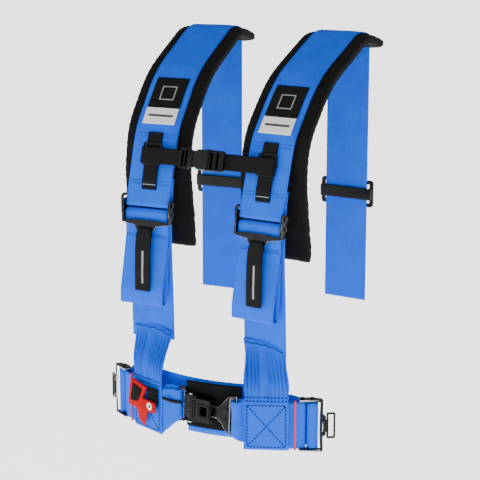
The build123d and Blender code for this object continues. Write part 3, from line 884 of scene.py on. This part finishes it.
# %% Pull tabs
BAR_R, BAR = 1.6, (-11.5, -23.6)
for side in SIDES:
    bar_y, bar_z = BAR
    r = BAR_R + 0.3 + SMALL_T / 2
    corners = [(bar_y + r - 1.0, bar_z - 13), (bar_y + r, bar_z + r), (bar_y - r, bar_z + r)]
    corners += [(bar_y - r - 3, bar_z - 12), (-20.3, -55), (-22.0, -92), (-22.6, -121)]
    place = shoulder_frame(side) @ shift(0, *LOCK)
    path = rounded(yz(corners), [2.0, 2.2, 30, 60, 60])

    def widen(s):
        return 0.8 + 0.24 * min(1.0, max(0.0, (s - 16) / 16))

    def sag(u, s):
        return noise.noise(Vector((s * 0.05, 7.0, u * 0.03))) * 0.5

    tab = Ribbon(path, SMALL_W, 2.4, place, 2.0, taper=widen, shape=sag)
    piece = tab.piece(side + "_pull_webbing", tab_cloth, 10)
    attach(piece, side + "_tab")
    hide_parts(side + "_pull_tab")
    ribbons[side + "_tab"] = tab

# %% [markdown]
# ## Hardware edges
# The frame's solids have knife edges, which no stamped or moulded part has. A copy of each
# is welded and its sharp edges are bevelled, and on the steel the bevels get a bright steel
# of their own, a painted highlight along the edges.

# %% A bevelled copy of a frame node
SHARP = radians(32)


def soften(node, name, body, material, edge_material=None, width=0.35, segments=2):
    """A frame node's welded copy with bevels width millimetres wide along its sharp edges."""
    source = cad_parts[node]
    bm = bmesh.new()
    bm.from_mesh(source.data)
    bmesh.ops.remove_doubles(bm, verts=bm.verts, dist=2e-6)
    bmesh.ops.dissolve_limit(bm, angle_limit=radians(1.0), verts=bm.verts, edges=bm.edges)
    for face in bm.faces:
        face.material_index = 0
    sharp = {e for e in bm.edges if len(e.link_faces) == 2 and e.calc_face_angle(0) > SHARP}
    if edge_material:
        reach = 2.2 * width * MM
        tight = {v for e in bm.edges if e.calc_length() < reach for v in e.verts}
        sharp = {e for e in sharp if not tight.intersection(e.verts)}
    sharp = sorted(sharp, key=lambda e: e.index)
    bmesh.ops.bevel(
        bm, geom=sharp, offset=width * MM, offset_type="OFFSET", affect="EDGES", segments=segments,
        profile=0.5, material=1 if edge_material else -1, clamp_overlap=True,
    )
    mesh = to_mesh(bm, name)
    obj = add_object(name, mesh, material, *([edge_material] if edge_material else []))
    mesh.set_sharp_from_angle(angle=radians(40))
    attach(obj, body)
    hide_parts(node)
    return obj


# On the steel hardware the bevels take the bright edge steel, a painted highlight.
for side in SIDES:
    for prefix in ("", "lap_"):
        body = side + "_" + prefix + "adjuster"
        start = side + "_" + prefix
        soften(start + "adjuster_frame", start + "frame", body, dark_steel, painted_edge_highlight, 1.1)
        soften(start + "adjuster_pin", start + "pin", body, dark_steel, painted_edge_highlight, 0.4)
        soften(start + "lock_bar", start + "bar", body, dark_steel, painted_edge_highlight, 0.4)
    soften(side + "_lap_ring", side + "_tab_ring", side + "_tab_ring", dark_steel, painted_edge_highlight, 0.5)
    soften(side + "_keeper_ring", side + "_ring", "root", plastic, None, 1.1, 3)
    soften(side + "_rear_slide", side + "_slide", side + "_slide", plastic, None, 0.8, 3)
    soften(side + "_chest_ring", side + "_glide", side + "_chest", plastic, None, 0.5)
soften("chest_buckle_female", "buckle_socket", "right_chest", plastic, None, 0.5)
soften("chest_buckle_male", "buckle_insert", "chest_insert", plastic, None, 0.5)
# The latch's steel bevels also take the bright edge steel as a painted highlight.
soften("latch_base", "latch_plate", "root", dark_steel, painted_edge_highlight, 0.35)
soften("latch_lever", "latch_cover", "latch_lever", dark_steel, painted_edge_highlight, 0.45)
soften("latch_pin", "lever_pin", "root", bright, None, 0.3)
soften("latch_spring", "lever_spring", "root", dark_steel, None, 0.2)
soften("latch_tongue", "tongue", "latch_tongue", dark_steel, painted_edge_highlight, 0.4)
soften("tongue_rivets", "rivets", "latch_tongue", dark_steel, None, 0.4)
soften("tab_grommet", "grommet", "release_tab", bright, None, 0.25)

# %% [markdown]
# ## Centre pieces
# Behind the latch lies a soft black pad that keeps the metal off the wearer. The release
# cable runs from the latch to the red tab, and thin elastic bands hold the belt's spare end.

# %% Buckle pad, red tab and patch
path = arc_points(-14, 79, -1.5, -548.0)


def pad_ripple(u, s):
    return noise.noise(Vector((u * 0.04, s * 0.04, 9))) * 0.6


pad = Ribbon(path, 74, 3.0, step=3.0, across=up, shape=pad_ripple)
piece = pad.piece("buckle_backing", pad_black, 20)
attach(piece, "root")
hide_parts("buckle_pad")

for node, name, body, slot_name, material in (
    ("release_tab", "red_tab", "release_tab", "red_fabric", red_cloth),
    ("tab_patch", "black_patch", "root", "black_fabric", pad_black),
):
    soften(node, name, body, material, None, 0.4)

# %% [markdown]
# The cable is a short sheathed wire. It leaves the latch straight, sags very little because
# it is stiff for its length, and ends under the red tab's grommet.

# %% Release cable
latch = shift(8.0, WAIST_Y - WAIST_R - 0.6, -551.0) @ turn(3, "Y")
CABLE_D, CABLE_FROM, CABLE_TO = 5.2, -27.0, -62.0
route = []
for i in range(25):
    share = i / 24
    sag = 1.4 * sin(pi * share)
    x = CABLE_FROM + (CABLE_TO - CABLE_FROM) * share
    route.append(latch @ Vector((x * MM, (-6.6 - 0.8 * sag) * MM, (3.0 - sag) * MM)))
curve = bpy.data.curves.new("pull_cable", "CURVE")
curve.dimensions, curve.bevel_depth, curve.bevel_resolution = "3D", CABLE_D / 2 * MM, 5
curve.use_fill_caps = True
line = curve.splines.new("POLY")
line.points.add(len(route) - 1)
for point, place in zip(line.points, route):
    point.co = (*place, 1.0)
curve.materials.append(sheath)
cable = bpy.data.objects.new("pull_cable", curve)
bpy.context.scene.collection.objects.link(cable)
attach(cable, "release_tab")
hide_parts("release_cable")

# %% Cover bars, the red tab's window and the elastic bands
def plate(name, outline, y, thick, place, material, body):
    """A flat cut-out from an outline of (X, Z) corners, with its edges just rounded."""
    bm = bmesh.new()
    corners = [bm.verts.new((x * MM, y * MM, z * MM)) for x, z in outline]
    face = bm.faces.new(corners)
    made = bmesh.ops.extrude_face_region(bm, geom=[face])
    front = [v for v in made["geom"] if isinstance(v, bmesh.types.BMVert)]
    bmesh.ops.translate(bm, verts=front, vec=(0, -thick * MM, 0))
    bmesh.ops.bevel(
        bm, geom=list(bm.edges), offset=thick * 0.25 * MM, offset_type="OFFSET", affect="EDGES",
        segments=2, profile=0.5, material=-1,
    )
    bmesh.ops.recalc_face_normals(bm, faces=bm.faces)
    bmesh.ops.transform(bm, matrix=place, verts=bm.verts)
    obj = add_object(name, to_mesh(bm, name), material)
    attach(obj, body)
    return obj


bars = {
    "left": [(6.5, -11.5), (9.5, -11.5), (9.5, 11.5), (6.5, 11.5)],
    "right": [(24.5, -11.5), (27.5, -11.5), (27.5, 11.5), (24.5, 11.5)],
    "top": [(9.5, 8.6), (24.5, 8.6), (24.5, 11.5), (9.5, 11.5)],
    "bottom": [(9.5, -11.5), (24.5, -11.5), (24.5, -8.6), (9.5, -8.6)],
    "grip_a": [(-3.5, -15), (-2.0, -15), (-2.0, 15), (-3.5, 15)],
    "grip_b": [(0.5, -15), (2.0, -15), (2.0, 15), (0.5, 15)],
}
for name, outline in bars.items():
    plate("cover_" + name, outline, -14.3, 1.3, latch, dark_steel, "latch_lever")
tab_frame = waist_frame(-95.0, 14.0, -560.0)
window = [(-22, 25), (2, 20), (-5, 4), (-12, -4), (-29, -5)]
plate("tab_window", window, -1.5, 0.9, tab_frame, pad_black, "release_tab")
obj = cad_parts["elastic_keepers"]
obj.data.materials.clear()
obj.data.materials.append(pink)

# %% [markdown]
# ## Stitching
# Ladder ends are tacked with zigzag rows, the loop is closed by two rows below the adjuster,
# and the sleeve has a gathering row and a box with a cross where it is sewn to the belt.

# %% Seams on the shoulder straps
def where(ribbon, low_enough, start=0.0):
    """The first place along a ribbon, after start, that lies below a height."""
    s = start
    while s < ribbon.length and ribbon.spot(s)[0].z > low_enough:
        s += 1.0
    return s


for side in SIDES:
    strap, top = ribbons[side + "_shoulder"]
    ladder_low = where(strap, -208.0, top + 60)
    ladder_top = where(strap, -136.0, top + 60)
    rows = []
    for u0, u1 in ((-35, -15), (15, 35)):
        for s in (ladder_low, ladder_low + 5, ladder_top, ladder_top + 5):
            rows.append(run_on(strap, zigzag(u0, u1, s, s, 4, 2.4), None, 3.0))
    edges = [run_on(strap, [(u, top + 12), (u, top + 282)]) for u in (-35.5, 35.5)]
    seam(side + "_edge_rows", edges, blue_thread, "root", 3.4, 0.28, 0.45)
    seam(side + "_ladder_tacks", rows, navy_thread, "root", 3.0, 0.3, 0.42)
    ladder = ribbons[side + "_ladder"]
    low = ladder.length - 8
    rows = [run_on(ladder, [(-11.5, low), (11.5, low)])]
    seam(side + "_ladder_row", rows, pale_thread, "root", 3.2, 0.3, 0.6)
    tab = ribbons[side + "_tab"]
    rows = [run_on(tab, [(-9, 30), (9, 30)]), run_on(tab, [(-9, 34), (9, 34)])]
    seam(side + "_tab_rows", rows, black_thread, side + "_tab", 2.8, 0.25, 0.5)
    lower = ribbons[side + "_lower"]
    crest = next(i for i in range(60, 400) if lower.spot(i + 6)[0].y < LOCK[0] - 3)
    closing = where(lower, -292.0, crest + 8)
    rows = [run_on(lower, [(-36, closing + d), (36, closing + d)]) for d in (0, 3.5)]
    seam(side + "_loop_rows", rows, navy_thread, side + "_adjuster", 3.0, 0.2, 0.62)

# %% Seams on the sleeves
def sleeve_run(side, spots, proud=0.3):
    outward = waist_frame(SLEEVE_X[side]).to_3x3() @ Vector((0, -1, 0))
    made = []
    for (u0, z0), (u1, z1) in zip(spots, spots[1:]):
        count = max(1, int(hypot(u1 - u0, z1 - z0) / 4))
        for i in range(count + 1):
            u, z = u0 + (u1 - u0) * i / count, z0 + (z1 - z0) * i / count
            squeeze = max(0.0, 1 - (abs(u) / 36.0) ** 8) ** 0.5
            low = 11.0 * max(0.0, (u + 4) / 39) ** 2 * sleeve_share(z)[1] ** 2
            made.append((sleeve_point(side, u, -(sleeve_depth(z) * squeeze + proud), z - low), outward))
    return made


for side in SIDES:
    high, low, half = BOX_TOP - 22, LAP_Z - 34, 30.0
    box = [(-half, high), (half, high), (half, low), (-half, low), (-half, high)]
    rows = [sleeve_run(side, box)]
    rows += [sleeve_run(side, [(-half, high), (half, low)]), sleeve_run(side, [(half, high), (-half, low)])]
    rows += [sleeve_run(side, [(-33, high + d), (33, high + d)], 1.0) for d in (7, 13)]
    seam(side + "_box_cross", rows, navy_thread, "root", 5.4, 0.25, 0.95)
    wave = [(u, SLEEVE_TOP - 6 + 1.2 * sin(u * 0.4)) for u in range(-34, 35, 4)]
    rows = [sleeve_run(side, wave, 1.2)]
    seam(side + "_gather_row", rows, navy_thread, "root", 3.6, 0.15, 0.9)

# %% [markdown]
# ## Floor, light and camera
# A pale floor well below, one broad soft key light, a fill and a rim, and a long lens.

# %% Stage
def area_light(name, place, target, size, power):
    data = bpy.data.lights.new(name, "AREA")
    data.shape, data.size, data.energy = "DISK", size, power
    light = bpy.data.objects.new(name, data)
    light.location = place
    light.rotation_euler = (Vector(target) - Vector(place)).to_track_quat("-Z", "Y").to_euler()
    bpy.context.scene.collection.objects.link(light)


bm = bmesh.new()
bmesh.ops.create_grid(bm, x_segments=1, y_segments=1, size=80.0, matrix=Matrix.Translation((0, 0, -0.95)))
white = Finish(
    "floor_white", Base_Color=rgb(0.9, 0.9, 0.9), Roughness=0.9, Emission_Color=rgb(1, 1, 1),
    Emission_Strength=2.3,
)
floor = add_object("floor", to_mesh(bm, "floor"), white.material)

world = bpy.data.worlds.new("studio")
world.use_nodes = True
world.node_tree.nodes["Background"].inputs["Color"].default_value = rgb(1.0, 1.0, 1.0)
world.node_tree.nodes["Background"].inputs["Strength"].default_value = 0.42
bpy.context.scene.world = world
middle = (0.0, -0.1, -0.3)
area_light("key", (0.2, -2.2, 1.9), middle, 1.6, 27.0)
area_light("fill", (-2.0, -1.2, 0.4), middle, 1.8, 6.0)
area_light("back", (1.2, 1.6, 1.2), middle, 1.5, 9.0)

camera_data = bpy.data.cameras.new("camera")
camera_data.lens, camera_data.sensor_width = 112.5, 36.0
camera = bpy.data.objects.new("camera", camera_data)
camera.location = (1.1564, -2.1682, 0.2305)
camera.rotation_euler = (radians(90 - 12.966), 0.0, radians(29.3))
bpy.context.scene.collection.objects.link(camera)
bpy.context.scene.camera = camera
